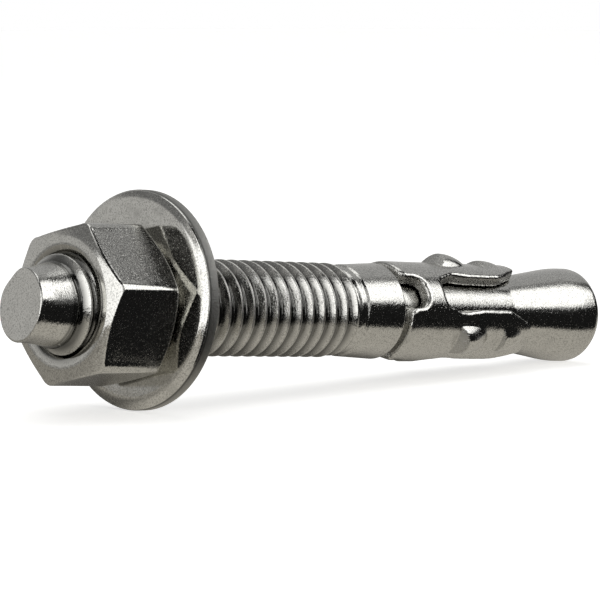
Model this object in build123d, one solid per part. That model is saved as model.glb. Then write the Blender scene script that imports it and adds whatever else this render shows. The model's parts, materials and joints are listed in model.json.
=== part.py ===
from build123d import *
import math
import os

# A 3/8 in wedge anchor, lying as it comes to rest on its washer and its cone.
#
# Each piece is drawn upright on its own axis: Z runs from the threaded tip
# towards the cone, X is the side that lies uppermost, and an angle about Z is
# counted from X. Lengths are in millimetres and angles in degrees. The whole
# set is laid down at the end, with +Z up and +X along the anchor.

# ---- stud, along its axis ----
DOG_LENGTH = 3.45            # plain point below the thread
THREAD_LENGTH = 36.45        # from the dog point to the last groove
THREAD_RUNOUT = 0.6          # cone that closes the last groove
BLANK_LENGTH = 0.7           # unthreaded bar behind the thread
SHOULDER_LENGTH = 5.0        # tapered shoulder that stops the clip
NECK_LENGTH = 17.8           # reduced neck that carries the clip
CONE_LENGTH = 12.2           # expansion cone with its rounded end

# ---- stud, across its axis ----
TIP_RADIUS = 3.47
DOG_BASE_RADIUS = 3.92
TIP_EDGE_CHAMFER = 0.15
TIP_SLANT_SIDE = 7.7         # the sheared tip leans this far from square, sideways
TIP_SLANT_UP = 4.5           # and this far upwards
BLANK_RADIUS = 4.42
SHOULDER_FRONT_RADIUS = 4.6
SHOULDER_BACK_RADIUS = 4.84
SHOULDER_EDGE_CHAMFER = 0.2
NECK_RADIUS = 3.6
NECK_CORNER_CHAMFER = 0.3
CONE_RADIUS = 4.95
CONE_HALF_ANGLE = 8.2
CONE_BLEND = 18.0            # long arc between the cone's flank and its land
CONE_END_ROUND = 0.8

# ---- thread, 3/8-16 right-hand ----
PITCH = 25.4 / 16
MAJOR_RADIUS = 4.70
ROOT_RADIUS = 3.86
PITCH_RADIUS = 4.247
FLANK_ANGLE = 30.0
THREAD_CLEARANCE = 0.16      # axial play between the nut's thread and the stud's
CREST_CLEARANCE = 0.10       # radial play over the stud's crests
THREAD_PHASE = 1.02          # height of a crest above the origin on the X side

# ---- hex nut, 9/16 in across flats ----
NUT_ACROSS_FLATS = 14.1
NUT_HEIGHT = 8.33
NUT_SETBACK = 1.48           # from the foot of the dog point to the nut's front face
NUT_CORNER_ANGLE = 16.0
NUT_BORE_RADIUS = 4.02       # over the nut's thread crests
NUT_COUNTERSINK_RADIUS = 5.05
NUT_FRONT_CIRCLE = 6.2       # flat ring on the front face, inside the chamfer
NUT_FRONT_CHAMFER = 20.0
NUT_BACK_CIRCLE = 6.35
NUT_BACK_CHAMFER = 30.0

# ---- flat washer ----
WASHER_RADIUS = 10.4
WASHER_BORE_RADIUS = 5.35
WASHER_THICKNESS = 1.65
WASHER_ROLL_RADIAL = 0.9     # rolled-over front edge left by the punch
WASHER_ROLL_AXIAL = 0.55
WASHER_ROLL_BULGE = 0.12     # how far the rolled edge bellies out between its ends
WASHER_BACK_EDGE = 0.12
WASHER_NUT_GAP = 0.2
WASHER_REST_GAP = 0.07       # left below the stud where it lies in the bore

# ---- expansion clip, rolled from one strip ----
CLIP_WALL = 1.25
CLIP_CLEARANCE = 0.23        # between the neck and the clip's bore
CLIP_FRONT_GAP = 0.8         # between the shoulder and the clip
CLIP_OVERHANG = 1.3          # how far the legs reach over the cone
CLIP_LEGS = 3
CLIP_LEG_ANGLE = 1.5         # where the first leg's middle lies
NOTCH_DEPTH = 2.5
NOTCH_HALF_ANGLE = 20.5
NOTCH_ROUND = 1.3
WAIST_LENGTH = 2.6           # unbroken band between the notches and the slots
SLOT_HALF_ANGLE = 21.5
SLOT_MOUTH_HALF_ANGLE = 15.0
SLOT_BELLY_HALF_ANGLE = 26.0
SLOT_BELLY_LENGTH = 5.2
SLOT_ROUND = 0.9
LEG_TIP_LENGTH = 3.5         # over this length a leg narrows to its tip
LEG_TIP_HALF_ANGLE = 20.0
SEAM_WIDTH = 0.5

# Each leg carries two domes pressed outwards. A dome is the back of a bent bar, cut
# back in front by a leaning face.
DOME_BURIED_ANGLE = 6.0      # how far the domes' ends run on below the leg's surface
DOME_FACE_ANGLE = 45.0       # how steeply the front face climbs from the leg
LARGE_DOME_FROM_FRONT = 9.3
LARGE_DOME_HEIGHT = 0.96
LARGE_DOME_HALF_LENGTH = 2.45
LARGE_DOME_ACROSS_RADIUS = 1.72
LARGE_DOME_FACE = 2.3        # from the dome's middle to the foot of its front face
SMALL_DOME_FROM_FRONT = 15.4
SMALL_DOME_HEIGHT = 0.4
SMALL_DOME_HALF_LENGTH = 1.8
SMALL_DOME_ACROSS_RADIUS = 2.05
SMALL_DOME_FACE = 1.4
DIMPLE_SHARE = 0.7           # the hollow inside, as a share of the dome outside

# ---- worked out from the sizes above ----
THREAD_START = DOG_LENGTH
THREAD_END = THREAD_START + THREAD_LENGTH
SHOULDER_START = THREAD_END + THREAD_RUNOUT + BLANK_LENGTH
NECK_START = SHOULDER_START + SHOULDER_LENGTH
CONE_START = NECK_START + NECK_LENGTH
STUD_END = CONE_START + CONE_LENGTH
NUT_FRONT = THREAD_START + NUT_SETBACK
NUT_BACK = NUT_FRONT + NUT_HEIGHT
WASHER_FRONT = NUT_BACK + WASHER_NUT_GAP
WASHER_BACK = WASHER_FRONT + WASHER_THICKNESS
WASHER_RISE = WASHER_BORE_RADIUS - MAJOR_RADIUS - WASHER_REST_GAP
CLIP_FRONT = NECK_START + CLIP_FRONT_GAP
CLIP_END = CONE_START + CLIP_OVERHANG
CLIP_BORE_RADIUS = NECK_RADIUS + CLIP_CLEARANCE
CLIP_RADIUS = CLIP_BORE_RADIUS + CLIP_WALL
SLOT_START = CLIP_FRONT + NOTCH_DEPTH + WAIST_LENGTH
LEG_SPACING = 360 / CLIP_LEGS
OVERCUT = 1.0                # how far a cutting solid runs past what it cuts


def tan(angle):
    return math.tan(math.radians(angle))


def turned(*profile):
    """Solid turned about Z from (radius, height) corners. A third number rounds its corner."""
    face = make_face(Polyline(*[corner[:2] for corner in profile], close=True))
    for radius, height, rounding in (c for c in profile if len(c) == 3):
        corner = face.vertices().sort_by_distance((radius, height, 0))[0]
        face = fillet(corner, rounding)
    return revolve(Plane.XZ * face, Axis.Z)


def thread_ridge(base_radius, crest_radius, play, start, length):
    """One helical ridge of the thread's form, swept past both ends of the given stretch.

    play widens it along the axis: zero is the stud's own ridge, and more cuts a nut's groove.
    """
    width = PITCH / 2 - THREAD_CLEARANCE / 2 + play

    def half_width(radius):
        return width / 2 - (radius - PITCH_RADIUS) * tan(FLANK_ANGLE)

    section = Polygon(
        (base_radius, -half_width(base_radius)),
        (crest_radius, -half_width(crest_radius)),
        (crest_radius, half_width(crest_radius)),
        (base_radius, half_width(base_radius)),
        align=None,
    )
    first_turn = math.floor((start - THREAD_PHASE) / PITCH) - 1
    turns = math.ceil(length / PITCH) + 3
    # the path is a chain of single turns, which the cuts that follow take cleanly
    helix = Wire(
        [
            Helix(pitch=PITCH, height=PITCH, radius=base_radius, center=(0, 0, turn * PITCH))
            for turn in range(turns)
        ]
    )
    ridge = sweep(Plane.XZ * section, path=helix, is_frenet=True)
    return Pos(0, 0, THREAD_PHASE + first_turn * PITCH) * ridge


def make_stud():
    """Turned bar with a sheared dog point, a rolled thread, a neck and an expansion cone."""
    cone_meets_land = CONE_START + (CONE_RADIUS - NECK_RADIUS) / tan(CONE_HALF_ANGLE)
    body = turned(
        (0, -DOG_LENGTH),
        (TIP_RADIUS, -DOG_LENGTH),
        (TIP_RADIUS, DOG_LENGTH / 3, 2.0),
        (DOG_BASE_RADIUS, DOG_LENGTH),
        (ROOT_RADIUS, THREAD_START + DOG_BASE_RADIUS - ROOT_RADIUS),
        (ROOT_RADIUS, THREAD_END),
        (BLANK_RADIUS, THREAD_END + THREAD_RUNOUT),
        (BLANK_RADIUS, SHOULDER_START - (SHOULDER_FRONT_RADIUS - BLANK_RADIUS)),
        (SHOULDER_FRONT_RADIUS, SHOULDER_START),
        (SHOULDER_BACK_RADIUS, NECK_START - SHOULDER_EDGE_CHAMFER),
        (SHOULDER_BACK_RADIUS - SHOULDER_EDGE_CHAMFER, NECK_START),
        (NECK_RADIUS + NECK_CORNER_CHAMFER, NECK_START),
        (NECK_RADIUS, NECK_START + NECK_CORNER_CHAMFER),
        (NECK_RADIUS, CONE_START),
        (CONE_RADIUS, cone_meets_land, CONE_BLEND),
        (CONE_RADIUS, STUD_END, CONE_END_ROUND),
        (0, STUD_END),
    )
    tip = Plane(
        origin=(0, 0, 0),
        z_dir=(tan(TIP_SLANT_UP), -tan(TIP_SLANT_SIDE), -1),
    )
    body -= extrude(tip * Circle(2 * TIP_RADIUS), DOG_LENGTH * 2)
    body = chamfer(body.faces().sort_by(Axis.Z)[0].edges(), TIP_EDGE_CHAMFER)

    # the ridge's crests keep clear of the sleeve that trims its two ends
    sleeve = MAJOR_RADIUS + CREST_CLEARANCE / 2
    trim = turned(
        (0, THREAD_START),
        (DOG_BASE_RADIUS, THREAD_START),
        (sleeve, THREAD_START + sleeve - DOG_BASE_RADIUS),
        (sleeve, THREAD_END - (sleeve - ROOT_RADIUS)),
        (ROOT_RADIUS, THREAD_END),
        (0, THREAD_END),
    )
    buried = ROOT_RADIUS - 0.2
    ridge = thread_ridge(buried, MAJOR_RADIUS, 0, THREAD_START, THREAD_LENGTH)
    return body + (ridge & trim)


def make_nut():
    """Hexagon nut chamfered on both faces, countersunk and tapped right through."""
    circumradius = NUT_ACROSS_FLATS / math.sqrt(3)
    hexagon = Rot(0, 0, NUT_CORNER_ANGLE) * RegularPolygon(circumradius, 6)
    blank = Pos(0, 0, NUT_FRONT) * extrude(hexagon, NUT_HEIGHT)
    reach = circumradius + OVERCUT
    blank &= turned(
        (0, NUT_FRONT),
        (NUT_FRONT_CIRCLE, NUT_FRONT),
        (reach, NUT_FRONT + (reach - NUT_FRONT_CIRCLE) * tan(NUT_FRONT_CHAMFER)),
        (reach, NUT_BACK - (reach - NUT_BACK_CIRCLE) * tan(NUT_BACK_CHAMFER)),
        (NUT_BACK_CIRCLE, NUT_BACK),
        (0, NUT_BACK),
    )
    sink = NUT_COUNTERSINK_RADIUS - NUT_BORE_RADIUS
    bore = turned(
        (0, NUT_FRONT - OVERCUT),
        (NUT_COUNTERSINK_RADIUS + OVERCUT, NUT_FRONT - OVERCUT),
        (NUT_BORE_RADIUS, NUT_FRONT + sink),
        (NUT_BORE_RADIUS, NUT_BACK - sink),
        (NUT_COUNTERSINK_RADIUS + OVERCUT, NUT_BACK + OVERCUT),
        (0, NUT_BACK + OVERCUT),
    )
    groove = thread_ridge(
        NUT_BORE_RADIUS - 0.2,
        MAJOR_RADIUS + CREST_CLEARANCE,
        THREAD_CLEARANCE,
        NUT_FRONT,
        NUT_HEIGHT,
    )
    return blank - (bore + groove)


def make_washer():
    """Punched flat washer, with its front edge rolled over and the stud lying in its bore."""
    flat_edge = WASHER_RADIUS - WASHER_ROLL_RADIAL
    roll_end = WASHER_FRONT + WASHER_ROLL_AXIAL
    rolled = SagittaArc(
        (flat_edge, WASHER_FRONT), (WASHER_RADIUS, roll_end), -WASHER_ROLL_BULGE
    )
    rest = Polyline(
        (WASHER_RADIUS, roll_end),
        (WASHER_RADIUS, WASHER_BACK - WASHER_BACK_EDGE),
        (WASHER_RADIUS - WASHER_BACK_EDGE, WASHER_BACK),
        (WASHER_BORE_RADIUS, WASHER_BACK),
        (WASHER_BORE_RADIUS, WASHER_FRONT),
        (flat_edge, WASHER_FRONT),
    )
    outline = rolled + rest
    ring = revolve(Plane.XZ * make_face(outline), Axis.Z)
    return Pos(WASHER_RISE, 0, 0) * ring


def radial_cut(outline, rounding, rounded):
    """Cutter with radial walls, from (height, angle) corners about the X side.

    The first corners, as many as rounded says, get a fillet that grows with the radius.
    """

    def layer(distance):
        plane = Plane(origin=(distance, 0, 0), x_dir=(0, 1, 0), z_dir=(1, 0, 0))
        corners = [(distance * tan(angle), height) for height, angle in outline]
        face = make_face(Polyline(*corners, close=True))
        for y, z in corners[:rounded]:
            corner = face.vertices().sort_by_distance((y, z, 0))[0]
            face = fillet(corner, rounding * distance / CLIP_RADIUS)
        return plane * face

    inner, outer = CLIP_BORE_RADIUS - OVERCUT, CLIP_RADIUS + 2 * OVERCUT
    return loft([layer(inner), layer(outer)], ruled=True)


def dome(crown, height, half_length, radius):
    """Bar of the given radius, bent round an axis across the leg so that its back stands out.

    The bend's outer arc has sunk by the given height at half_length from the crown.
    """
    bend = (half_length**2 + height**2) / (2 * height)
    reach = math.degrees(math.asin(half_length / bend)) + DOME_BURIED_ANGLE
    hinge = Axis((crown - bend, 0, 0), (0, 1, 0))
    bar = revolve(Pos(crown - radius, 0, 0) * Circle(radius), hinge, revolution_arc=2 * reach)
    return bar.rotate(hinge, -reach)


def pressed_dome(height, half_length, across_radius, face_foot):
    """The dome that stands out of a leg with its front face cut, and the dimple behind it."""
    raised = dome(CLIP_RADIUS + height, height, half_length, across_radius)
    leaning = Plane(
        origin=(CLIP_RADIUS, 0, -face_foot),
        z_dir=(math.sin(math.radians(DOME_FACE_ANGLE)), 0, -math.cos(math.radians(DOME_FACE_ANGLE))),
    )
    raised = split(raised, leaning, keep=Keep.BOTTOM)
    depth = height * DIMPLE_SHARE
    dimple = dome(
        CLIP_BORE_RADIUS + depth,
        depth,
        half_length * DIMPLE_SHARE,
        across_radius * DIMPLE_SHARE,
    )
    return raised, dimple


def make_clip():
    """Strip rolled round the neck: notches in front, slots behind, and legs with pressed domes."""
    clip = Pos(0, 0, CLIP_FRONT) * extrude(Circle(CLIP_RADIUS), CLIP_END - CLIP_FRONT)
    notch_end = CLIP_FRONT + NOTCH_DEPTH
    before, behind = CLIP_FRONT - OVERCUT, CLIP_END + OVERCUT
    notch = radial_cut(
        [
            (notch_end, NOTCH_HALF_ANGLE),
            (notch_end, -NOTCH_HALF_ANGLE),
            (before, -NOTCH_HALF_ANGLE),
            (before, NOTCH_HALF_ANGLE),
        ],
        NOTCH_ROUND,
        rounded=2,
    )
    leg_spread = LEG_SPACING / 2 - LEG_TIP_HALF_ANGLE
    belly = SLOT_START + SLOT_BELLY_LENGTH / 2
    one_side = [
        (SLOT_START, SLOT_MOUTH_HALF_ANGLE),
        (belly, SLOT_BELLY_HALF_ANGLE),
        (SLOT_START + SLOT_BELLY_LENGTH, SLOT_HALF_ANGLE),
        (CLIP_END - LEG_TIP_LENGTH, SLOT_HALF_ANGLE),
    ]
    far_side = [(z, -angle) for z, angle in reversed(one_side)]
    slot = radial_cut(
        far_side + one_side
        + [
            (CLIP_END, leg_spread),
            (behind, leg_spread),
            (behind, -leg_spread),
            (CLIP_END, -leg_spread),
        ],
        SLOT_ROUND,
        rounded=8,
    )

    large = CLIP_FRONT + LARGE_DOME_FROM_FRONT
    small = CLIP_FRONT + SMALL_DOME_FROM_FRONT
    large_raised, large_dimple = pressed_dome(
        LARGE_DOME_HEIGHT, LARGE_DOME_HALF_LENGTH, LARGE_DOME_ACROSS_RADIUS, LARGE_DOME_FACE
    )
    small_raised, small_dimple = pressed_dome(
        SMALL_DOME_HEIGHT, SMALL_DOME_HALF_LENGTH, SMALL_DOME_ACROSS_RADIUS, SMALL_DOME_FACE
    )

    # the domes stand on the solid bar first, and the bore then opens the tube
    turns = [Rot(0, 0, CLIP_LEG_ANGLE + leg * LEG_SPACING) for leg in range(CLIP_LEGS)]
    for turn in turns:
        clip += turn * Pos(0, 0, large) * large_raised
        clip += turn * Pos(0, 0, small) * small_raised
    clip -= Pos(0, 0, before) * extrude(Circle(CLIP_BORE_RADIUS), behind - before)
    for turn in turns:
        clip -= turn * Pos(0, 0, large) * large_dimple
        clip -= turn * Pos(0, 0, small) * small_dimple
        gap = turn * Rot(0, 0, LEG_SPACING / 2)
        clip -= gap * notch
        clip -= gap * slot

    # the strip's two ends meet in the middle of one gap
    seam = Box(4 * CLIP_WALL, SEAM_WIDTH, CLIP_END - CLIP_FRONT)
    seam = Pos(CLIP_RADIUS, 0, (CLIP_FRONT + CLIP_END) / 2) * seam
    clip -= Rot(0, 0, CLIP_LEG_ANGLE + 1.5 * LEG_SPACING) * seam
    return clip


def resting_place():
    """Where the upright set goes to lie on the washer's back rim and the cone's rounded end."""
    # both touch the floor: a * cos(tilt) - b * sin(tilt) = CONE_END_ROUND
    round_centre_radius = CONE_RADIUS - CONE_END_ROUND
    round_centre_height = STUD_END - CONE_END_ROUND
    rim_height = WASHER_BACK - WASHER_BACK_EDGE
    rim_below_axis = WASHER_RADIUS - WASHER_RISE
    a = rim_below_axis - round_centre_radius
    b = round_centre_height - rim_height
    tilt = math.acos(CONE_END_ROUND / math.hypot(a, b)) - math.atan2(b, a)
    across, along = math.sin(tilt), math.cos(tilt)
    axis_height = rim_below_axis * along + rim_height * across
    return Plane(
        origin=(0, 0, axis_height), x_dir=(across, 0, along), z_dir=(along, 0, -across)
    )


pieces = {
    "stud": make_stud(),
    "hex_nut": make_nut(),
    "washer": make_washer(),
    "expansion_clip": make_clip(),
}

lying = resting_place()
extent = (lying.location * pieces["stud"]).bounding_box()
centred = Pos(-(extent.min.X + extent.max.X) / 2, 0, 0) * lying.location

os.makedirs("parts", exist_ok=True)
for name, piece in pieces.items():
    export_step(centred * piece, f"parts/{name}.step")
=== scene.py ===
"""Wedge anchor lying on its washer and its cone.

Its stud, hex nut, washer and expansion clip are fine meshes that stand for the solids, in cold-formed,
rolled and punched stainless steel, on a pale floor in a white studio.
"""

import json
import math

import bmesh
import bpy
import numpy as np
from bpy.props import FloatProperty, FloatVectorProperty, PointerProperty
from bpy.types import Operator, Panel, PropertyGroup
from mathutils import Matrix, Vector
from mathutils.geometry import delaunay_2d_cdt


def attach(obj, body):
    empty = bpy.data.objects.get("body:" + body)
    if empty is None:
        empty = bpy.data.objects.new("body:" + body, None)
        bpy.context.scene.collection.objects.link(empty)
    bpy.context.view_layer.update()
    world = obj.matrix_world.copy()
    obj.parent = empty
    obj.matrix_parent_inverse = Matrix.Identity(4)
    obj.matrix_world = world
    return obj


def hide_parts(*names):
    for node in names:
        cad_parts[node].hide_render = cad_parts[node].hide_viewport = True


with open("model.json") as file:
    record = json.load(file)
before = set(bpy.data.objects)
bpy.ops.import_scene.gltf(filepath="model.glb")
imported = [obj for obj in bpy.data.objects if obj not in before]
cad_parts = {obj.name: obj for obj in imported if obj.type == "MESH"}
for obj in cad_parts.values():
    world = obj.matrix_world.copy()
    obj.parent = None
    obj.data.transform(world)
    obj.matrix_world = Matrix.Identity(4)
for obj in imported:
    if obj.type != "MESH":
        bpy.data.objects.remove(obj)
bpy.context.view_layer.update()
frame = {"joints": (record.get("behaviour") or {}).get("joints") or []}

bl_info = {
    "name": "Wedge anchor",
    "version": (1, 0, 0),
    "blender": (4, 5, 0),
    "location": "3D View > Sidebar > Wedge anchor",
    "description": "Builds a wedge anchor with its nut, washer and expansion clip, and a studio for it",
    "category": "Add Mesh",
}

MM = 0.001
TURN = 2 * math.pi
LIMITS = ("From Min", "From Max", "To Min", "To Max")  # sockets of a Map Range node
NUT_TURN = next(joint for joint in frame["joints"] if joint["name"] == "nut_turn")

# The anchor's own axes at rest: along it from the sheared tip, up from it, and to its near side.
ALONG = Vector(NUT_TURN["axis"]).normalized()
NEAR = Vector((0, -1, 0))
UP = NEAR.cross(ALONG)
NUT_PLACE = 4.93 * MM  # from the tip to the nut's front face, where its joint is
TIP = Vector(NUT_TURN["pos_m"]) - NUT_PLACE * ALONG


# ---------------------------------------------------------------- sizes and colours


def length(name, description, millimetres):
    return FloatProperty(
        name=name, description=description, default=millimetres * MM, subtype="DISTANCE", unit="LENGTH"
    )


def angle(name, description, degrees):
    return FloatProperty(
        name=name, description=description, default=math.radians(degrees), subtype="ANGLE", unit="ROTATION"
    )


def linear(colour):
    """Linear red, green and blue from an sRGB hex value such as #C8C6C2."""
    values = [int(colour[i : i + 2], 16) / 255 for i in (1, 3, 5)]
    return [v / 12.92 if v <= 0.04045 else ((v + 0.055) / 1.055) ** 2.4 for v in values]


def shade(name, description, colour):
    return FloatVectorProperty(
        name=name, description=description, default=linear(colour), size=3, min=0, max=1, subtype="COLOR"
    )


class ThreadSizes(PropertyGroup):
    pitch: length("Pitch", "Distance from one crest to the next", 1.5875)
    major_radius: length("Major radius", "Crests of the stud's thread", 4.70)
    root_radius: length("Root radius", "Roots of the stud's thread", 3.86)
    crest_width: length("Crest width", "Flat on a crest", 0.19)
    root_width: length("Root width", "Between the two flanks, in a root", 0.52)
    crest_round: length("Crest rounding", "Softening of a crest's edges", 0.07)
    root_round: length("Root rounding", "Softening of a root's corners", 0.25)
    crest_place: length("Crest place", "A crest on the upper side, along the axis", 1.02)


class StudSizes(PropertyGroup):
    tip_radius: length("Tip radius", "Sheared end of the dog point", 3.47)
    tip_lean_side: angle("Tip lean sideways", "Sheared end off square, sideways", 7.7)
    tip_lean_up: angle("Tip lean upwards", "Sheared end off square, upwards", 4.5)
    dog_length: length("Dog length", "Plain point below the thread", 3.45)
    dog_base_radius: length("Dog base radius", "Where the point meets the thread", 3.92)
    thread_end: length("Thread end", "Where the last groove has run out", 40.5)
    run_out: length("Run-out", "Length over which the last groove fades", 1.5)
    blank_radius: length("Blank radius", "Plain bar behind the thread", 4.42)
    shoulder_start: length("Shoulder start", "Front of the tapered shoulder", 41.2)
    shoulder_front_radius: length("Shoulder front radius", "Shoulder behind the thread", 4.60)
    shoulder_back_radius: length("Shoulder back radius", "Shoulder at the clip", 4.84)
    neck_start: length("Neck start", "Front of the reduced neck", 46.2)
    neck_radius: length("Neck radius", "Neck that carries the clip", 3.60)
    cone_start: length("Cone start", "Where the neck meets the cone", 64.0)
    cone_radius: length("Cone radius", "Land at the cone's wide end", 4.95)
    cone_slope: angle("Cone slope", "Half angle of the expansion cone", 8.2)
    end: length("End", "Whole length of the stud", 76.2)
    end_round: length("End round", "Rounding of the cone's wide end", 0.8)
    colour: shade("Colour", "Cold-formed steel", "#DAD9D4")


class NutSizes(PropertyGroup):
    across_flats: length("Across flats", "Spanner size", 14.1)
    height: length("Height", "Thickness of the nut", 8.33)
    corner_turn: angle("Corner turn", "First corner, from the upper side", 16.0)
    corner_round_front: length("Corner round, front", "At the front chamfer", 1.2)
    corner_round_back: length("Corner round, back", "At the back chamfer", 0.5)
    hollow: length("Hollow", "How far the forged flats sink along the nut", 0.05)
    brow: length("Brow", "How far the flats bow down to the front chamfer", 0.05)
    crown: length("Crown", "How far the flats fall away to their corners", 0.03)
    front_circle: length("Front circle", "Flat ring inside the front chamfer", 6.2)
    front_chamfer: angle("Front chamfer", "Slope of the front chamfer", 20.0)
    back_circle: length("Back circle", "Flat ring inside the back chamfer", 6.35)
    back_chamfer: angle("Back chamfer", "Slope of the back chamfer", 30.0)
    bore_radius: length("Bore radius", "Over the nut's own crests", 4.02)
    groove_radius: length("Groove radius", "Bottom of the tapped groove", 4.80)
    groove_width: length("Groove width", "Flat at the bottom of the tapped groove", 0.235)
    land_width: length("Land width", "Flat between two turns of the groove", 0.45)
    sink_radius: length("Countersink radius", "Mouth of the bore on both faces", 5.05)
    colour: shade("Colour", "Cold-formed steel with grainy flats", "#D8D7D2")


class WasherSizes(PropertyGroup):
    radius: length("Radius", "Rim of the washer", 10.4)
    bore_radius: length("Bore radius", "Hole that the stud lies in", 5.35)
    thickness: length("Thickness", "Between the two faces", 1.65)
    front: length("Front", "Front face, along the axis", 13.46)
    rise: length("Rise", "How far its middle lies above the stud's axis", 0.58)
    roll_radial: length("Roll, across", "Width of the drawn-down front edge", 0.85)
    roll_axial: length("Roll, along", "Depth of the drawn-down front edge", 0.36)
    colour: shade("Colour", "Tumbled punched steel", "#DCDBD6")


class ClipSizes(PropertyGroup):
    front: length("Front", "Front edge, along the axis", 47.0)
    end: length("End", "Tips of the legs, along the axis", 65.3)
    radius: length("Radius", "Outside of the rolled strip", 5.08)
    bore_radius: length("Bore radius", "Inside of the rolled strip", 3.83)
    leg_turn: angle("Leg turn", "First leg, from the upper side", 1.5)
    notch_depth: length("Notch depth", "Notches in the front edge", 2.5)
    notch_spread: angle("Notch spread", "Half width of a notch", 20.5)
    slot_start: length("Slot start", "Bottom of the slots between the legs", 52.1)
    slot_spread: angle("Slot spread", "Half width of a slot between two legs", 21.5)
    seam: length("Seam", "Gap between the ends of the strip", 0.5)
    roll_across: length("Roll, across", "Width of the strip's rolled-over edge", 0.5)
    roll_down: length("Roll, down", "Depth of the strip's rolled-over edge", 0.24)
    large_place: length("Large bump", "Its crown, behind the clip's front edge", 8.4)
    large_height: length("Large bump height", "Crown of the large bump", 0.98)
    large_half: length("Large bump length", "From its crown to its back end", 3.35)
    small_place: length("Small bump", "Its crown, behind the clip's front edge", 14.8)
    small_height: length("Small bump height", "Crown of the small bump", 0.4)
    small_half: length("Small bump length", "From its crown to its back end", 2.3)
    colour: shade("Colour", "Rolled strip", "#DAD9D4")


class StudioSizes(PropertyGroup):
    heading: angle("Heading", "Direction the camera looks, from +Y towards +X", 44.72)
    elevation: angle("Elevation", "How steeply the camera looks down", 5.2)
    distance: length("Distance", "From the camera to the anchor's tip", 300.447)
    tip_left: length("Tip left", "From the view's middle to the tip", 25.446)
    tip_below: length("Tip below", "From the view's middle to the tip", 0.346)
    lens: FloatProperty(name="Lens", description="Focal length", default=198, min=1, unit="CAMERA")
    floor: shade("Floor", "Pale table", "#F4F4F2")
    # colour of the glowing sheet under the anchor: a painted reflection of lit paper
    paper: shade("Paper", "Sheet under the anchor, as metal mirrors it", "#BAB6AE")
    paper_near: length("Paper edge", "Near edge of the sheet", -13.1)
    paper_nut: length("Paper edge, nut", "Near edge of the sheet beside the nut", -11.2)
    paper_turn: angle("Paper turn", "Near edge off the anchor's length", 4.5)


# ---------------------------------------------------------------- surfaces


def circle(count):
    """Evenly spaced angles, once round the axis."""
    return np.arange(count) / count * TURN


def lie(radius, turn, along, rise=0.0):
    """Points in the frame, from a radius off the axis, an angle from its upper side and a length along it:
    tip + (radius * cos(turn) + rise) * up + radius * sin(turn) * near + along * axis."""
    radius, turn, along = np.broadcast_arrays(radius, turn, along)
    parts = np.stack([radius * np.cos(turn) + rise, radius * np.sin(turn), along], -1)
    return np.array(TIP) + parts @ np.array((UP, NEAR, ALONG))


def soften(corners, cuts, steps=5, hold=1.7):
    """Rounds the inner corners of a profile, given as rows of (radius, along).

    A circular arc leaves and joins a corner's two sides at its cut length: a weighted quadratic curve with
    the corner as its middle point. A row at hold times that length keeps each side's shading true.
    """
    rows = [corners[0]]
    for before, corner, after, cut in zip(corners, corners[1:], corners[2:], cuts):
        back, ahead = before - corner, after - corner
        back = back / np.linalg.norm(back, axis=-1, keepdims=True)
        ahead = ahead / np.linalg.norm(ahead, axis=-1, keepdims=True)
        weight = np.sqrt((1 - (back * ahead).sum(-1, keepdims=True)) / 2)
        rows.append(corner + hold * cut * back)
        for t in np.linspace(0, 1, steps):
            a, b, c = (1 - t) ** 2, 2 * weight * t * (1 - t), t**2
            rows.append(corner + cut * (a * back + c * ahead) / (a + b + c))
        rows.append(corner + hold * cut * ahead)
    rows.append(corners[-1])
    return np.array(rows)


def woven(rows, columns, carry=0):
    """Four-cornered faces of a grid whose last column joins its first, carry rows further on."""
    i, j = np.meshgrid(np.arange(rows - 1), np.arange(columns), indexing="ij")
    step = np.where(j == columns - 1, carry, 0)
    k = (j + 1) % columns
    near, far = i * columns + j, (i + step) * columns + k
    return np.stack([near, far, far + columns, near + columns], -1)[i + 1 + step < rows]


def threaded(thread, outline, turns, start, end):
    """Skin of a thread between two lengths, as arrays of radius and along, and faces.

    Rows follow the helix, so each keeps its place in the thread's form: along = row + pitch * turn / full
    turn, held between start and end. The last column joins the first one a pitch further on. outline is one
    pitch of the form.
    """
    per_pitch = len(outline)
    first = math.floor((start - thread.crest_place) / thread.pitch) - 1
    last = math.ceil((end - thread.crest_place) / thread.pitch) + 1
    place = (np.arange(first, last)[:, None] + outline[:, 0]).ravel()
    radius = np.tile(outline[:, 1], last - first)
    along = thread.crest_place + thread.pitch * (place[:, None] + turns / TURN)
    radius = np.broadcast_to(radius[:, None], along.shape)
    return radius, np.clip(along, start, end), woven(len(place), len(turns), per_pitch)


def thread_outline(pitch, crest, root, crest_width, root_width, crest_round, root_round):
    """One pitch of a trapezoid thread with softened corners, from the middle of one crest to the next, as
    rows of (place within the pitch from 0 to 1, radius)."""
    crest_end, root_start = crest_width / 2, (pitch - root_width) / 2
    places = (0, crest_end, root_start, pitch - root_start, pitch - crest_end, pitch)
    corners = np.stack([places, (crest, crest, root, root, crest, crest)], -1)
    rows = soften(corners, [crest_round, root_round, root_round, crest_round], steps=4, hold=1.0)
    rows = rows[np.r_[True, np.diff(rows[:, 0]) > 1e-7]]
    return rows[:-1] / (pitch, 1)


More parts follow.
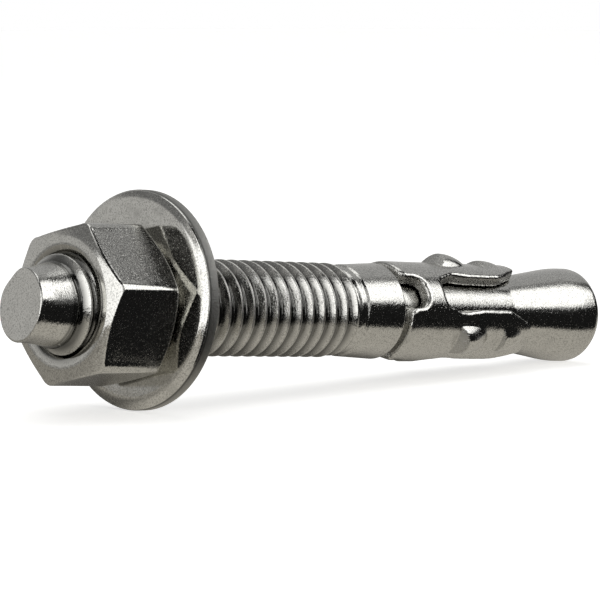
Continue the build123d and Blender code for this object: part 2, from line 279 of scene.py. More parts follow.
def weld(name, skins):
    """One closed mesh from skins of (points, faces, coarse, soiled), without doubles, normals outwards.

    coarse is 1 where the metal is sheared or forged. The last is 1 where it is dirty, and also where
    shade is painted into it, for its finish.
    """
    mesh = bpy.data.meshes.new(name)
    points, faces, values, count = [], [], ([], []), 0
    for skin in skins:
        flat = skin[0].reshape(-1, 3)
        points.append(flat)
        faces += (np.asarray(skin[1]) + count).tolist()
        for kept, value in zip(values, skin[2:]):
            kept.append(np.broadcast_to(value, skin[0].shape[:-1]).ravel())
        count += len(flat)
    mesh.from_pydata(np.concatenate(points).tolist(), [], faces)
    for attribute, kept in zip(("coarse", "grime_and_shade"), values):
        layer = mesh.attributes.new(attribute, "FLOAT", "POINT")
        layer.data.foreach_set("value", np.concatenate(kept).astype(np.float32))
    work = bmesh.new()
    work.from_mesh(mesh)
    bmesh.ops.remove_doubles(work, verts=work.verts, dist=1e-6)
    bmesh.ops.dissolve_degenerate(work, edges=work.edges, dist=1e-7)
    bmesh.ops.recalc_face_normals(work, faces=work.faces)
    if work.calc_volume(signed=True) < 0:
        bmesh.ops.reverse_faces(work, faces=work.faces)
    open_edges = sum(not edge.is_manifold for edge in work.edges)
    if open_edges:
        raise RuntimeError(f"{name} has {open_edges} open edges")
    work.to_mesh(mesh)
    work.free()
    mesh.shade_smooth()
    return mesh


def stand(mesh, material):
    """Puts a finished mesh in the scene."""
    mesh.materials.append(material)
    thing = bpy.data.objects.new(mesh.name, mesh)
    bpy.context.scene.collection.objects.link(thing)
    return thing


def show(mesh, material, node, body):
    """Puts a piece in the scene in place of its solid, on its body, with its finish."""
    piece = stand(mesh, material)
    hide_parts(node)
    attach(piece, body)


def turned_skin(profile, turns, rise=0.0, coarse=0.0, grime_and_shade=0.0):
    """Skin turned about the axis, or above it by rise: every row of (radius, along) goes round through the
    given angles."""
    radius, along = profile[:, 0, None], profile[:, 1, None]
    return lie(radius, turns, along, rise), woven(len(profile), len(turns)), coarse, grime_and_shade


def ramp(value, low, high):
    """0 below low, 1 above high, or the other way round if low is the larger, and share**2 * (3 - 2 * share)
    between them."""
    share = np.clip((value - low) / (high - low), 0, 1)
    return share * share * (3 - 2 * share)


# ---------------------------------------------------------------- materials


def add(tree, kind, values=None, links=None, **settings):
    """Adds a shader node, sets its sockets' values and its own settings, and links its inputs."""
    node = tree.nodes.new("ShaderNode" + kind)
    for name, value in settings.items():
        setattr(node, name, value)
    for name, value in (values or {}).items():
        node.inputs[name].default_value = value
    for name, socket in (links or {}).items():
        tree.links.new(socket, node.inputs[name])
    return node


def cleared(owner):
    """The node tree of a material or a world, with nothing in it."""
    owner.use_nodes = True
    owner.node_tree.nodes.clear()
    return owner.node_tree


def stainless(name, colour, polish, grain, ripple, coarse, stain=0.3):
    """Bright austenitic stainless steel, drawn or rolled along the anchor.

    polish is the smooth metal's roughness. grain is the depth in metres of its fine marks, and ripple that
    of the slow waves that bend what it mirrors. Where the piece's own coarse attribute is 1, the metal is
    sheared or forged: coarse is its (added roughness, depth of its pits in metres). Handling darkens it in
    patches by stain, and it is darkened where the piece's other attribute is 1: by dirt, and by shade
    painted into grooves, corners and under edges.
    """
    material = bpy.data.materials.new(name)
    tree = cleared(material)
    place = add(tree, "TexCoord").outputs["Object"]
    parts = {}
    for layer in ("coarse", "grime_and_shade"):
        parts[layer] = add(tree, "Attribute", attribute_name=layer).outputs["Fac"]

    # Patterns, by the lengths of their grains in mm along the anchor, level across it and up, and by their
    # detail. Real die marks, pits and specks are 0.02 to 0.05 mm long: here they are drawn coarser, at 0.13
    # to 0.24 mm, because finer ones would not show.
    for pattern, grains, detail in (
        ("drawn", (0.13, 0.24, 0.24), 4),  # marks from the dies and rolls
        ("pits", (0.14, 0.14, 0.14), 3),  # torn or forged grain
        ("specks", (0.15, 0.15, 0.15), 2),
        ("waves", (2.2, 3.0, 3.0), 1),  # slow hollows from the dies and rolls
        ("marks", (1.3, 1.3, 1.3), 5),  # smears from handling
    ):
        scales = {"Rotation": (0, math.asin(-ALONG.z), 0), "Scale": [size * MM for size in grains]}
        turned = add(tree, "Mapping", scales, {"Vector": place}, vector_type="TEXTURE")
        scales = {"Scale": 1, "Detail": detail, "Roughness": 0.55}
        noise = add(tree, "TexNoise", scales, {"Vector": turned.outputs["Vector"]})
        parts[pattern] = noise.outputs["Fac"]

    # as the pattern goes from one level to the next, the part goes from one value to the other
    for part, pattern, *limits in (
        ("dull", "marks", 0.45, 0.8, polish, polish * 2.2),
        ("dull specks", "specks", 0.6, 0.7, 0.0, 0.3),
        ("patches", "marks", 0.5, 0.78, 0.0, stain),
        ("dark specks", "specks", 0.55, 0.33, 0.0, 0.6),
    ):
        limits = dict(zip(LIMITS, limits))
        parts[part] = add(tree, "MapRange", limits, {"Value": parts[pattern]}).outputs["Result"]

    added, depth = coarse
    for part, operation, *terms in (
        # height in metres: slow waves, fine marks over them, and pits where sheared or forged
        ("slow", "MULTIPLY", "waves", ripple),
        ("smooth", "MULTIPLY_ADD", "drawn", grain, "slow"),
        ("deep", "MULTIPLY", "pits", depth),
        ("height", "MULTIPLY_ADD", "deep", "coarse", "smooth"),
        # roughness: a little duller where handled, dull in specks, and more where sheared or forged
        ("speckled", "ADD", "dull", "dull specks"),
        ("rough", "MULTIPLY_ADD", "coarse", added, "speckled"),
        # darkness: stains in patches, the bottoms of the specks, and dirt together with painted shade
        ("stained", "MAXIMUM", "patches", "dark specks"),
        ("dark", "MAXIMUM", "stained", "grime_and_shade"),
    ):
        values = {i: term for i, term in enumerate(terms) if not isinstance(term, str)}
        links = {i: parts[term] for i, term in enumerate(terms) if isinstance(term, str)}
        parts[part] = add(tree, "Math", values, links, operation=operation).outputs["Value"]

    relief = add(tree, "Bump", {"Strength": 1, "Distance": 1}, {"Height": parts["height"]})
    clean_and_dark = {"A": (*colour, 1), "B": (*[0.25 * c for c in colour], 1)}
    tint = add(tree, "Mix", clean_and_dark, {"Factor": parts["dark"]}, data_type="RGBA")
    links = {"Base Color": tint.outputs["Result"], "Roughness": parts["rough"], "Normal": relief.outputs[0]}
    shader = add(tree, "BsdfPrincipled", {"Metallic": 1.0}, links)
    add(tree, "OutputMaterial", links={"Surface": shader.outputs["BSDF"]})
    return material


# ---------------------------------------------------------------- pieces


class ANCHOR_OT_stud(Operator):
    """Build the stud, from its sheared tip through its rolled thread to its expansion cone"""

    bl_idname = "anchor.stud"
    bl_label = "Stud"

    def execute(self, context):
        scene = context.scene
        stud, thread = scene.anchor_stud, scene.anchor_thread
        turns = circle(144)

        # dog point: rings that follow the leaning end at the tip and stand square at the thread
        waist = (stud.tip_radius + 0.03 * MM, 0.33 * stud.dog_length)
        point = [(0, 0), (stud.tip_radius, 0), waist, (stud.dog_base_radius, stud.dog_length)]
        point = soften(np.array(point), [0.16 * MM, 0.5 * MM])
        face, flank = np.linspace((0, 0), point[1], 8), np.linspace(point[-2], point[-1], 20)
        point = np.concatenate([face[:-1], point[1:-2], flank])
        radius, along = point[:, 0, None], point[:, 1, None]
        # the shears leave the tip off round, flatter on one side and fuller on another, and a darker ring
        # lies at the point's base
        near_tip = 1 - along / stud.dog_length
        flat = -0.1 * np.exp((np.cos(turns - math.radians(315)) - 1) / 0.1)
        full = 0.03 * np.cos(turns - math.radians(215))
        radius = radius * (1 + (flat + full) * near_tip)
        lean = np.cos(turns) * math.tan(stud.tip_lean_up) - np.sin(turns) * math.tan(stud.tip_lean_side)
        from_base = stud.dog_length - along
        darkening = 0.8 * ramp(from_base, 0.4 * MM, 0.25 * MM) * ramp(from_base, 0.02 * MM, 0.12 * MM)
        along = along + radius * lean * near_tip
        skins = [(lie(radius, turns, along), woven(len(point), len(turns)), 0.0, darkening)]

        # rolled thread: crests rise from a chamfer in front and sink into the plain bar behind. They are
        # worn, shade is painted into the roots, and a darker ring lies round the chamfer.
        form = (thread.major_radius, thread.root_radius, thread.crest_width, thread.root_width)
        outline = thread_outline(thread.pitch, *form, thread.crest_round, thread.root_round)
        radius, along, faces = threaded(thread, outline, turns, stud.dog_length, stud.thread_end)
        rise = along - stud.dog_length
        radius = np.clip(radius, stud.dog_base_radius - rise, stud.dog_base_radius + rise)
        fade = ramp(along, stud.thread_end - stud.run_out, stud.thread_end)
        radius = radius + (stud.blank_radius - radius) * fade
        depth = thread.major_radius - thread.root_radius
        worn = ramp(radius, thread.major_radius - 0.06 * MM, thread.major_radius - 0.02 * MM)
        # painted shade in the roots: darkest at their bottoms, fading out up the flanks
        darkening = ramp(radius, thread.root_radius + 0.9 * depth, thread.root_radius + 0.1 * depth) * (1 - fade)
        ring = 0.7 * ramp(np.abs(rise - 0.62 * MM), 0.1 * MM, 0.04 * MM)
        skins.append((lie(radius, turns, along), faces, worn, np.maximum(darkening, ring)))

        # plain bar, shoulder, neck and cone, with shade painted into the corner where the neck begins
        cone_end = stud.cone_start + (stud.cone_radius - stud.neck_radius) / math.tan(stud.cone_slope)
        step = stud.shoulder_front_radius - stud.blank_radius
        edge = 0.2 * MM
        back = [
            (stud.blank_radius, stud.thread_end),
            (stud.blank_radius, stud.shoulder_start - step),
            (stud.shoulder_front_radius, stud.shoulder_start),
            (stud.shoulder_back_radius, stud.neck_start - edge),
            (stud.shoulder_back_radius - edge, stud.neck_start),
            (stud.neck_radius + 1.5 * edge, stud.neck_start),
            (stud.neck_radius, stud.neck_start + 1.5 * edge),
            (stud.neck_radius, stud.cone_start),
            (stud.cone_radius, cone_end),
            (stud.cone_radius, stud.end),
            (0, stud.end),
        ]
        cuts = [0.06, 0.08, 0.1, 0.1, 0.08, 0.1, 0.15, 1.3, stud.end_round / MM]
        back = soften(np.array(back), [cut * MM for cut in cuts], hold=1.25)
        back = np.concatenate([back[:-1], np.linspace(back[-2], (0, stud.end), 8)[1:]])
        # painted shade in the corner where the shoulder steps down to the neck
        groove = back[:, 1, None] - stud.neck_start
        darkening = 0.3 * ramp(groove, -0.1 * MM, 0) * ramp(groove, 0.6 * MM, 0.2 * MM)
        skins.append(turned_skin(back, turns, grime_and_shade=darkening))

        # Stainless bar, cold-formed between dies and thread-rolled: bright and smooth with a slow wave, so
        # that what it mirrors wavers, and frosted on the crests, which rub against other anchors.
        finish = dict(polish=0.08, grain=0.018 * MM, ripple=0.03 * MM, coarse=(0.3, 0.0))
        finish = stainless("cold_formed_stainless", stud.colour, **finish)
        show(weld("anchor_stud", skins), finish, "stud", "stud")
        return {"FINISHED"}


class ANCHOR_OT_nut(Operator):
    """Build the hex nut, with its chamfers and its tapped, countersunk bore"""

    bl_idname = "anchor.nut"
    bl_label = "Hex nut"

    def execute(self, context):
        scene = context.scene
        nut, thread = scene.anchor_nut, scene.anchor_thread
        front, back = NUT_PLACE, NUT_PLACE + nut.height

        # angles from the middle of a flat, closest together near the corners
        half_side = math.pi / 6
        side = [np.linspace(-1, -0.62, 12), np.linspace(-0.6, 0.58, 16), np.linspace(0.62, 0.97, 12)]
        side = np.concatenate(side) * half_side
        turns = (nut.corner_turn - half_side + circle(6)[:, None] + side).ravel()
        flat_turn = np.tile(side, 6)

        def rim(rounding):
            """Radius of the hexagon: apothem / cos(turn) along its flats, less a crown that grows with the
            square of the turn, or the arc that rounds the nearer corner. Also 1 on the grainy flats, fading
            to 0 where the forging die has polished the corners."""
            apothem = nut.across_flats / 2
            centre = (apothem - rounding) / math.cos(half_side)
            from_corner = half_side - np.abs(flat_turn)
            on_flat = apothem / np.cos(flat_turn) - nut.crown * (flat_turn / half_side) ** 2
            chord = np.maximum(rounding**2 - (centre * np.sin(from_corner)) ** 2, 0)
            on_arc = centre * np.cos(from_corner) + np.sqrt(chord) - nut.crown
            foot = half_side - math.atan((apothem - rounding) * math.tan(half_side) / apothem)
            grainy = np.clip((from_corner - foot) / 0.05 + 0.3, 0, 1)
            return np.where(from_corner < foot, on_arc, on_flat), grainy

        # each column runs from the front mouth of the bore, over both chamfers, to the back mouth
        rim_front, grainy_front = rim(nut.corner_round_front)
        rim_back, grainy_back = rim(nut.corner_round_back)
        rim_front = rim_front - nut.brow * grainy_front
        corners = (
            (nut.sink_radius, front),
            (nut.front_circle, front),
            (rim_front, front + (rim_front - nut.front_circle) * math.tan(nut.front_chamfer)),
            (rim_back, back - (rim_back - nut.back_circle) * math.tan(nut.back_chamfer)),
            (nut.back_circle, back),
            (nut.sink_radius, back),
        )
        corners = [np.stack(np.broadcast_arrays(*corner, turns)[:2], -1) for corner in corners]
        rows = soften(np.stack(corners), [0.25 * MM, 0.2 * MM, 0.15 * MM, 0.2 * MM])
        middle, count = len(rows) // 2, 20
        on_flats = slice(middle - 1, middle - 1 + count)
        share = np.linspace(0, 1, count)[:, None]
        between = rows[middle - 1] + share[1:-1, :, None] * (rows[middle] - rows[middle - 1])
        rows = np.concatenate([rows[:middle], between, rows[middle:]])
        forged = np.zeros(rows.shape[:-1])
        forged[on_flats] = grainy_front + (grainy_back - grainy_front) * share
        # the flats are a little hollow, deepest a third of the way back, and bow down at the front
        flats, bow_length = rows[on_flats], 0.9 * MM
        bow = 1 - share - np.clip(1 - (flats[..., 1] - flats[0, :, 1]) / bow_length, 0, 1) ** 2
        rise = nut.brow * bow - nut.hollow * np.sin(math.pi * share**0.65)
        flats[..., 0] += rise * forged[on_flats]
        outside = lie(rows[..., 0], turns, rows[..., 1])
        skins = [(outside, woven(len(rows), len(turns)), forged, 0.0)]

        # tapped bore, painted darker all through, and opened by a countersink at each end
        form = (nut.groove_radius, nut.bore_radius, nut.groove_width, nut.land_width)
        outline = thread_outline(thread.pitch, *form, crest_round=0.08 * MM, root_round=0.08 * MM)
        radius, along, faces = threaded(thread, outline, turns, front, back)
        radius = np.maximum(radius, nut.sink_radius - np.minimum(along - front, back - along))
        skins.append((lie(radius, turns, along), faces, 0.0, 0.6))

        # Stainless bar, cold-forged in a die: corners and chamfers bright from the die, and flats with a
        # fine grain that breaks up what they mirror.
        finish = dict(polish=0.08, grain=0.006 * MM, ripple=0.02 * MM, coarse=(0.04, 0.012 * MM))
        finish = stainless("cold_forged_stainless", nut.colour, **finish)
        show(weld("anchor_nut", skins), finish, "hex_nut", "nut")
        return {"FINISHED"}


class ANCHOR_OT_washer(Operator):
    """Build the flat washer, with the drawn-down front edge and sheared rim that the punch leaves"""

    bl_idname = "anchor.washer"
    bl_label = "Washer"

    def execute(self, context):
        washer = context.scene.anchor_washer
        front, back = washer.front, washer.front + washer.thickness
        # the punch draws the front edge down in a soft slope, and shears the rest of the rim, where dirt
        # stays, most of it just past the slope's lip
        brow, lip = washer.radius - washer.roll_radial, washer.radius - 0.1 * MM
        rows = [
            (washer.bore_radius, (front + back) / 2),
            (washer.bore_radius, front),
            (brow, front),
            (lip, front + washer.roll_axial),
            (washer.radius, front + washer.roll_axial + 0.25 * MM),
            (washer.radius, back - 0.1 * MM),
            (washer.radius - 0.12 * MM, back),
            (washer.bore_radius, back),
            (washer.bore_radius, (front + back) / 2),
        ]
        cuts = [0.15, 0.4, 0.1, 0.06, 0.05, 0.05, 0.1]
        rows = soften(np.array(rows), [cut * MM for cut in cuts], hold=1.2)
        radius, past_lip = rows[:, 0, None], rows[:, 1, None] - front - washer.roll_axial
        sheared = ramp(past_lip, 0, 0.15 * MM) * ramp(radius, lip, lip + 0.05 * MM)
        darkening = 0.7 * sheared * ramp(past_lip, 0.45 * MM, 0.15 * MM) + 0.5 * sheared

        # Stainless strip, punched and then tumbled: faces rounded and polished bright, with slow waves and
        # stains, and a torn dull rim.
        finish = dict(polish=0.06, grain=0.006 * MM, ripple=0.02 * MM, coarse=(0.4, 0.06 * MM), stain=0.5)
        finish = stainless("tumbled_stainless", washer.colour, **finish)
        mesh = weld("anchor_washer", [turned_skin(rows, circle(240), washer.rise, sheared, darkening)])
        show(mesh, finish, "washer", "washer")
        return {"FINISHED"}


def walked(corners, cuts, step):
    """A closed outline with rounded corners, as evenly spaced points step apart."""
    around = np.array([corners[-1], *corners, corners[0]])
    loop = soften(around, cuts, steps=9, hold=1.0)[1:-1]
    loop = np.concatenate([loop, loop[:1]])
    run = np.r_[0, np.cumsum(np.hypot(*np.diff(loop, axis=0).T))]
    at = np.linspace(0, run[-1], int(run[-1] / step) + 1)[:-1]
    return np.stack([np.interp(at, run, loop[:, 0]), np.interp(at, run, loop[:, 1])], -1)


def inward(loop):
    """Unit directions into the metal: the way from the point before to the one after, turned left."""
    ahead = np.roll(loop, -1, axis=0) - np.roll(loop, 1, axis=0)
    ahead = ahead / np.linalg.norm(ahead, axis=1, keepdims=True)
    return np.stack([-ahead[:, 1], ahead[:, 0]], -1)


def within(points, loop):
    """True for points from which a level line crosses the closed outline an odd number of times."""
    x0, y0 = loop.T
    x1, y1 = np.roll(loop, -1, axis=0).T
    x, y = points[:, :1], points[:, 1:]
    rise = np.where(y1 == y0, 1.0, y1 - y0)
    crosses = ((y0 > y) != (y1 > y)) & (x < (x1 - x0) * (y - y0) / rise + x0)
    return crosses.sum(1) % 2 == 1


def reach(points, loop):
    """Distance from each point to the nearest side of a closed outline."""
    start, side = loop, np.roll(loop, -1, axis=0) - loop
    length_squared = (side**2).sum(1)
    nearest = []
    for part in np.array_split(points, max(1, len(points) // 1500)):
        out = part[:, None] - start
        share = np.clip((out * side).sum(-1) / length_squared, 0, 1)
        nearest.append(np.sqrt(((out - share[..., None] * side) ** 2).sum(-1)).min(1))
    return np.concatenate(nearest)


def larger(a, b, blend):
    """The larger of two heights, with the crease between them rounded over about the blend length."""
    return (a + b + np.sqrt((a - b) ** 2 + blend**2)) / 2


class ANCHOR_OT_clip(Operator):
    """Build the expansion clip from its flat strip: cut out, pressed and rolled round the neck"""

    bl_idname = "anchor.clip"
    bl_label = "Expansion clip"

    def execute(self, context):
        clip = context.scene.anchor_clip
        outer, bore = clip.radius, clip.bore_radius
        pressed = 0.7  # size of the hollow behind a bump, to the bump
        inner_down = 0.06 * MM  # rolled-over edge of the strip's inside
        edge_step = 0.12 * MM

        # Half a notch and half a slot, as (turn from its middle, along, rounding in mm). The outline goes
        # along the front edge past the seam, two notches and the seam, and back past the slots between legs.
        gap = clip.leg_turn + math.pi / 3
        notch_end = clip.front + clip.notch_depth
        half_notch = [(clip.notch_spread, notch_end, 1.2), (clip.notch_spread, clip.front, 0.9)]
        half_slot = [
            (math.radians(15), clip.slot_start, 0.7),
            (math.radians(26), clip.slot_start + 2.6 * MM, 0.9),
            (clip.slot_spread, clip.slot_start + 5.2 * MM, 0.5),
            (clip.slot_spread, clip.end - 3.5 * MM, 0.8),
            (math.radians(40), clip.end, 0.35),
        ]
        seam = clip.seam / 2 / outer
        corners = []
        for way, half, seam_end in ((1, half_notch, notch_end), (-1, half_slot, clip.slot_start)):
            places = (-2, -1, 0, 1)[::way]
            for place in places:
                before = [(-way * turn, along, cut) for turn, along, cut in reversed(half)]
                after = [(way * turn, along, cut) for turn, along, cut in half]
                if place == places[0]:
                    before = [(way * seam, seam_end, 0.2)]
                if place == places[-1]:
                    after = [(-way * seam, seam_end, 0.2)]
                middle = gap + place * TURN / 3
                for turn, along, cut in before + after:
                    corners.append(((middle + turn) * outer, along, cut * MM))
        corners = np.array(corners)
        edge = walked(corners[:, :2], corners[:, 2], edge_step)
        # the shears leave it a little wavy
        run = np.arange(len(edge)) * edge_step / MM
        sway = 0.02 * np.sin(run * 1.9) + 0.015 * np.sin(run * 4.3 + 1) + 0.01 * np.sin(run * 8.7 + 2)
        edge = edge + inward(edge) * (sway * MM)[:, None]

        # bumps: (middle of the leg, along, height, half length, radius across, foot of the front face)
        large = (clip.large_place, clip.large_height, clip.large_half, 1.72 * MM, 1.05 * MM)
        small = (clip.small_place, clip.small_height, clip.small_half, 2.05 * MM, 0.8 * MM)
        legs = clip.leg_turn + np.array([0, 1, -1]) * TURN / 3
        bumps = [(leg, clip.front + place, *rest) for place, *rest in (large, small) for leg in legs]

        def pressed_out(turn, along, base, share):
            """Radius of the pressed strip: the back of a bar that is bent to sink by a bump's height at its
            half length, and cut by a front face of 45 degrees, wherever that stands higher than the strip.
            Also 1 on those front faces, and 0 elsewhere."""
            radius, faced = np.full_like(turn, base), np.zeros_like(turn)
            for leg, middle, height, half, across, foot in bumps:
                rise, half, bar = height * share, half * share, across * share
                bend = (half**2 + rise**2) / (2 * rise)
                place = along - middle
                crown = base + rise - (bend - np.sqrt(np.maximum(bend**2 - place**2, 0))) - bar
                inside = bar**2 - (crown * np.sin(turn - leg)) ** 2
                top = crown * np.cos(turn - leg) + np.sqrt(np.maximum(inside, 0))
                top = np.where((inside > 0) & (np.abs(turn - leg) < 1), top, base - bar)
                if share == 1:
                    face = base + place + foot
                    cut = ramp(top - face, -0.02 * MM, 0.02 * MM) * ramp(face, base, base + 0.05 * MM)
                    faced = np.maximum(faced, cut)
                    top = -larger(-top, -face, 0.03 * MM)
                radius = np.where(top > base - 0.3 * MM, larger(radius, top, 0.05 * MM), radius)
            return radius, faced

        def strip_skin(base, share, across, down, spacing, fine):
            """One face of the strip: a triangle mesh of its outline, rolled to its radius, whose points are
            a spacing apart, or fine near its edge and bumps.

            Its rolled-over edge falls away in a quarter of an ellipse: fall = down * (1 - sqrt(1 - u**2)),
            with u = 1 - distance from the edge / across.
            """
            lowest, highest = edge.min(0), edge.max(0)
            centres = np.array([(leg * outer, middle) for leg, middle, *_ in bumps])

            def field(step, near):
                """Points of the outline's inside, near its edge and its bumps or clear of them, a step apart
                in rows whose every other one is shifted by half a step."""
                x = np.arange(lowest[0], highest[0], step)
                x, y = np.meshgrid(x, np.arange(lowest[1], highest[1], step * 0.866))
                x = x + (np.arange(len(y)) % 2)[:, None] * step / 2
                points = np.stack([x.ravel(), y.ravel()], -1)
                points = points[within(points, edge)]
                on_bump = (np.abs(points[:, None] - centres) <= [2.0 * MM, 3.4 * MM]).all(2).any(1)
                from_edge = reach(points, edge)
                close = on_bump | (from_edge < across + 0.5 * spacing)
                return points[close & (from_edge > 0.17 * MM)] if near else points[~close]

            loops = [edge + inward(edge) * step * MM for step in (0, 0.04, 0.1)]
            index = np.arange(len(edge))
            ring = np.stack([index, np.roll(index, -1)], -1)
            links = np.concatenate([ring + k * len(edge) for k in range(len(loops))])
            flat = np.concatenate([*loops, field(spacing, False), field(fine, True)])
            flat = [Vector(point) for point in (flat / MM).tolist()]
            found = delaunay_2d_cdt(flat, links.tolist(), [], 0, 1e-6, True)
            points = np.array([tuple(p) for p in found[0]]) * MM
            faces = np.array(found[2])
            faces = faces[within(points[faces].mean(1), edge)]
            u = 1 - np.clip(reach(points, edge) / across, 0, 1)
            fall = down * (1 - np.sqrt(1 - u**2))
            turn = points[:, 0] / outer
            radius, faced = pressed_out(turn, points[:, 1], base, share)
            radius = radius - fall * (1 if share == 1 else -1)
            return lie(radius, turn, points[:, 1]), faces, faced, 0.45 * faced

        skins = [
            strip_skin(outer, 1, clip.roll_across, clip.roll_down, spacing=0.22 * MM, fine=0.11 * MM),
            strip_skin(bore, pressed, 0.08 * MM, inner_down, spacing=0.4 * MM, fine=0.3 * MM),
        ]
        # sheared wall between them, torn, with shade painted on it, darker towards the inside under the edge
        turn, along = edge[:, 0] / outer, edge[:, 1]
        top = pressed_out(turn, along, outer, 1)[0] - clip.roll_down
        bottom = pressed_out(turn, along, bore, pressed)[0] + inner_down
        share = np.linspace(0, 1, 6)[:, None]
        torn = np.ones((len(share), len(edge)))
        torn[[0, -1]] = 0.3
        wall = lie(top + (bottom - top) * share, turn, along)
        skins.append((wall, woven(*torn.shape), torn, 0.5 * share**2))

        # Stainless strip, rolled, sheared and bent round the neck: a slow wave and marks across it from the
        # rolls, with pitted, rolled-over edges and duller, darker cut faces on its bumps.
        finish = dict(polish=0.09, grain=0.018 * MM, ripple=0.04 * MM, coarse=(0.15, 0.07 * MM))
        finish = stainless("rolled_stainless_strip", clip.colour, **finish)
        show(weld("anchor_clip", skins), finish, "expansion_clip", "clip")
        return {"FINISHED"}


# ---------------------------------------------------------------- stage


def lay(name, corners, material):
    """Lays a flat sheet of the stage at the table's level."""
    mesh = bpy.data.meshes.new(name)
    mesh.from_pydata([(*corner, 0) for corner in corners], [], [tuple(range(len(corners)))])
    sheet = stand(mesh, material)
    return sheet


def floor(studio):
    """Table: matt painted board, which takes a soft shadow and mirrors nothing. To the camera it is a
    little brighter than it is lit, so that it reads as white."""
    material = bpy.data.materials.new("matt_white_table")
    tree = cleared(material)
    seen = add(tree, "LightPath").outputs["Is Camera Ray"]
    look = {"Base Color": (*studio.floor, 1), "Roughness": 0.8}
    paint = add(tree, "BsdfPrincipled", look).outputs["BSDF"]
    look = {"Color": (1, 1, 1, 1), "Strength": 0.62}
    glow = add(tree, "Emission", look).outputs["Emission"]
    both = add(tree, "AddShader", links={0: paint, 1: glow}).outputs["Shader"]
    mix = add(tree, "MixShader", links={"Fac": seen, 1: paint, 2: both}).outputs["Shader"]
    add(tree, "OutputMaterial", links={"Surface": mix})
    table = lay("table", [(-3, -3), (3, -3), (3, 3), (-3, 3)], material)
    table.visible_glossy = False


def paper(studio):
    """White sheet under the anchor, for its metal to mirror: it ends just in front, its turned edge runs
    nearly along the anchor, and it stops shorter at the nut. The camera sees the table instead."""
    # glowing sheet, seen in the metal as an even pale grey: a painted reflection of lit paper, with a
    # painted shadow behind the anchor, past the washer
    material = bpy.data.materials.new("glowing_paper_painted_shadow")
    tree = cleared(material)
    place = add(tree, "TexCoord").outputs["Object"]
    place = add(tree, "SeparateXYZ", links={"Vector": place}).outputs
    parts = {}
    # painted shadow: darker past the washer, X from -34 to -24 mm, and behind the anchor, Y from -3 to 3 mm
    for i, *limits in ((0, -34 * MM, -24 * MM, 0.45, 1), (1, -3 * MM, 3 * MM, 0, 0.85)):
        limits, links = dict(zip(LIMITS, limits)), {"Value": place[i]}
        part = add(tree, "MapRange", limits, links, interpolation_type="SMOOTHSTEP")
        parts[i] = part.outputs["Result"]
    painted_shadow = add(tree, "Math", links=parts, operation="MULTIPLY")
    colours = {"A": (*studio.paper, 1), "B": (*[0.1 * c for c in studio.paper], 1)}
    links = {"Factor": painted_shadow.outputs["Value"]}
    light = add(tree, "Mix", colours, links, data_type="RGBA").outputs["Result"]
    # the sheet glows with its painted light and shadow, a painted reflection seen only in the metal
    glow = add(tree, "Emission", {"Strength": 1.0}, {"Color": light}).outputs["Emission"]
    add(tree, "OutputMaterial", links={"Surface": glow})

    left, right, far = -0.12, 0.15, 0.25
    corners = [(left, studio.paper_nut), (-13 * MM, studio.paper_nut)]
    corners += [(x, studio.paper_near + x * math.tan(studio.paper_turn)) for x in (-10 * MM, right)]
    sheet = lay("paper", [*corners, (right, far), (left, far)], material)
    sheet.visible_camera = sheet.visible_diffuse = False
    sheet.visible_shadow = sheet.visible_transmission = False


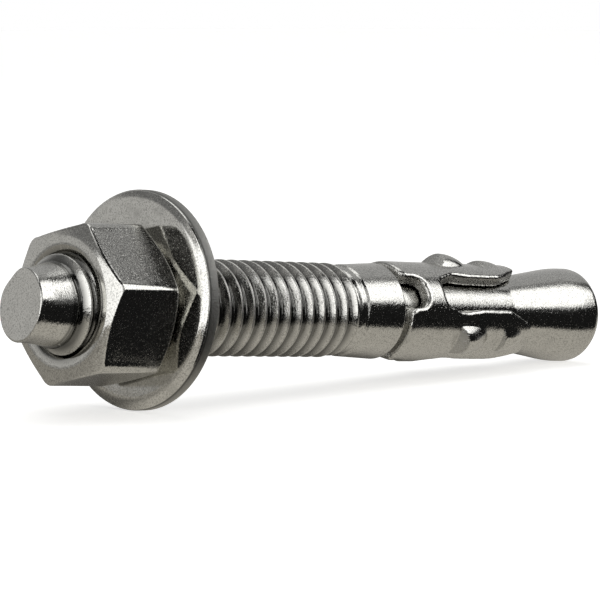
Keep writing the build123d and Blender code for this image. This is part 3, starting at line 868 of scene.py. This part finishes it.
def surround():
    """World: white to the camera and an even light on the table. Metal mirrors a dark room of cards and
    softboxes, each a patch of directions on the inner side of every plane given for it, as (normal,
    offset, softness), and laid over those before it."""
    world = bpy.data.worlds.new("white_studio")
    bpy.context.scene.world = world
    tree = cleared(world)
    way = add(tree, "TexCoord").outputs["Generated"]

    def grey(level, warmth=0.0):
        return (level * (1 + warmth), level, level * (1 - 2 * warmth), 1)

    def heading(degrees, toward=1, soft=0.03):
        """Plane through the vertical: its inner side is past the heading, or short of it."""
        a = math.radians(degrees)
        return ((-math.sin(a) * toward, math.cos(a) * toward, 0), 0, soft)

    def above(offset, soft=0.03):
        return ((0, 0, 1), offset, soft)

    def below(offset, soft=0.03):
        return ((0, 0, -1), -offset, soft)

    far, slanted = ((0, 1, 0), 0.15, 0.1), ((-0.485, -0.211, 0.849), 0, 0.02)
    cards = (
        # ceiling and far wall, lighter towards the floor and on the left, darker up on the left
        ([((-0.28, 0.87, 0.38), 0, 0.03), ((0.315, 0.944, -0.1), 0.08, 0.04)], grey(0.42)),
        ([((0, 1, 0), 0.3, 0.25), below(0.3, 0.25)], grey(0.52, 0.01)),
        ([((-1, 0, 0), 0.1, 0.2), ((0, 1, 0), 0.1, 0.1)], grey(0.52, 0.01)),
        ([heading(118), heading(146, -1), below(0.006, 0.014), above(-0.2)], grey(0.3, 0.01)),
        ([heading(95), heading(162, -1, 0.1), above(0.42, 0.08)], grey(0.2)),
        # beyond the paper: table behind and on the right, and its dark edge on the left
        ([below(-0.105, 0.025), far], grey(0.3, 0.01)),
        ([heading(338), heading(60, -1), below(-0.08, 0.05)], grey(0.26, 0.01)),
        ([((-1, 0, 0), 0.85, 0.1), below(-0.1)], grey(0.07)),
        # grey wall behind the camera, and a broad light overhead, behind the anchor
        ([heading(205), heading(299, -1), above(0.1), below(0.75)], grey(0.14)),
        ([above(0.885, 0.02), ((0, 1, 0), -0.1, 0.1)], grey(1.3)),
        ([heading(240), heading(262, -1), above(0.15), below(0.8)], grey(1.0)),
        # softboxes: left, near left and near right
        ([heading(154), heading(176, -1), above(-0.1, 0.03), below(0.44, 0.05)], grey(1.5)),
        ([heading(174), heading(222, -1, 0.1), above(-0.12), below(0.66, 0.05)], grey(1.7)),
        ([heading(296), heading(345, -1), above(0.255, 0.02), slanted, below(0.82)], grey(1.9)),
    )
    under = {}
    for sides, colour in cards:
        cover = []
        for normal, offset, soft in sides:
            normal = {1: Vector(normal).normalized()}
            side = add(tree, "VectorMath", normal, {0: way}, operation="DOT_PRODUCT")
            limits = dict(zip(LIMITS, (offset - soft, offset + soft)))
            links = {"Value": side.outputs["Value"]}
            side = add(tree, "MapRange", limits, links, interpolation_type="SMOOTHSTEP")
            cover.append(side.outputs["Result"])
            if len(cover) == 2:
                both = add(tree, "Math", links=dict(enumerate(cover)), operation="MULTIPLY")
                cover = [both.outputs["Value"]]
        colours = {"A": grey(0.012), "B": colour}
        mix = add(tree, "Mix", colours, {"Factor": cover[0], **under}, data_type="RGBA")
        under = {"A": mix.outputs["Result"]}
    path = add(tree, "LightPath").outputs
    plain = add(tree, "Background", {"Color": (1, 1, 1, 1), "Strength": 0.4}).outputs[0]
    mirrored = add(tree, "Background", {"Strength": 1.0}, {"Color": under["A"]}).outputs[0]
    white = add(tree, "Background", {"Color": (1, 1, 1, 1), "Strength": 1.0}).outputs[0]
    for seen, other in ((path["Is Glossy Ray"], mirrored), (path["Is Camera Ray"], white)):
        plain = add(tree, "MixShader", links={0: seen, 1: plain, 2: other}).outputs[0]
    add(tree, "OutputWorld", links={"Surface": plain})


def light_up():
    """One broad soft lamp overhead, for the shadow on the table."""
    light = bpy.data.lights.new("overhead", "AREA")
    light.shape, light.size, light.energy = "DISK", 0.6, 1.2
    lamp = bpy.data.objects.new("overhead", light)
    lamp.location = (0, 0.1, 0.6)
    lamp.rotation_euler = lamp.location.to_track_quat("Z", "Y").to_euler()
    lamp.visible_glossy = False
    bpy.context.scene.collection.objects.link(lamp)


def view(studio):
    """Looks along its heading and down by its elevation, placed to put the tip where it should be."""
    psi, tilt = studio.heading, studio.elevation
    ahead = Vector((math.sin(psi) * math.cos(tilt), math.cos(psi) * math.cos(tilt), -math.sin(tilt)))
    right = Vector((math.cos(psi), -math.sin(psi), 0))
    above = right.cross(ahead)
    camera = bpy.data.cameras.new("camera")
    camera.lens, camera.sensor_width = studio.lens, 36
    camera.clip_start, camera.clip_end = 0.01, 20
    body = bpy.data.objects.new("camera", camera)
    place = TIP + studio.tip_left * right + studio.tip_below * above - studio.distance * ahead
    turn = Matrix((right, above, -ahead)).transposed().to_4x4()
    body.matrix_world = Matrix.Translation(place) @ turn
    bpy.context.scene.collection.objects.link(body)
    bpy.context.scene.camera = body


class ANCHOR_OT_studio(Operator):
    """Build the pale floor, the white studio that the metal mirrors, the lamp and the camera"""

    bl_idname = "anchor.studio"
    bl_label = "Studio"

    def execute(self, context):
        studio = context.scene.anchor_studio
        floor(studio)
        paper(studio)
        surround()
        light_up()
        view(studio)
        context.scene.view_settings.view_transform = "Standard"
        return {"FINISHED"}


class ANCHOR_PT_panel(Panel):
    bl_label = "Wedge anchor"
    bl_idname = "ANCHOR_PT_panel"
    bl_space_type = "VIEW_3D"
    bl_region_type = "UI"
    bl_category = "Wedge anchor"

    def draw(self, context):
        for section, _, operator in SECTIONS:
            box = self.layout.box()
            sizes = getattr(context.scene, section)
            for name in sizes.__annotations__:
                box.prop(sizes, name)
            if operator:
                box.operator(operator.bl_idname)


SECTIONS = (
    ("anchor_thread", ThreadSizes, None),
    ("anchor_stud", StudSizes, ANCHOR_OT_stud),
    ("anchor_nut", NutSizes, ANCHOR_OT_nut),
    ("anchor_washer", WasherSizes, ANCHOR_OT_washer),
    ("anchor_clip", ClipSizes, ANCHOR_OT_clip),
    ("anchor_studio", StudioSizes, ANCHOR_OT_studio),
)
CLASSES = [kind for section in SECTIONS for kind in section[1:] if kind] + [ANCHOR_PT_panel]


def register():
    for kind in CLASSES:
        bpy.utils.register_class(kind)
    for section, sizes, _ in SECTIONS:
        setattr(bpy.types.Scene, section, PointerProperty(type=sizes))


def unregister():
    for section, *_ in SECTIONS:
        delattr(bpy.types.Scene, section)
    for kind in reversed(CLASSES):
        bpy.utils.unregister_class(kind)


def main():
    register()
    bpy.ops.anchor.stud()
    bpy.ops.anchor.nut()
    bpy.ops.anchor.washer()
    bpy.ops.anchor.clip()
    bpy.ops.anchor.studio()


if __name__ == "__main__":
    main()
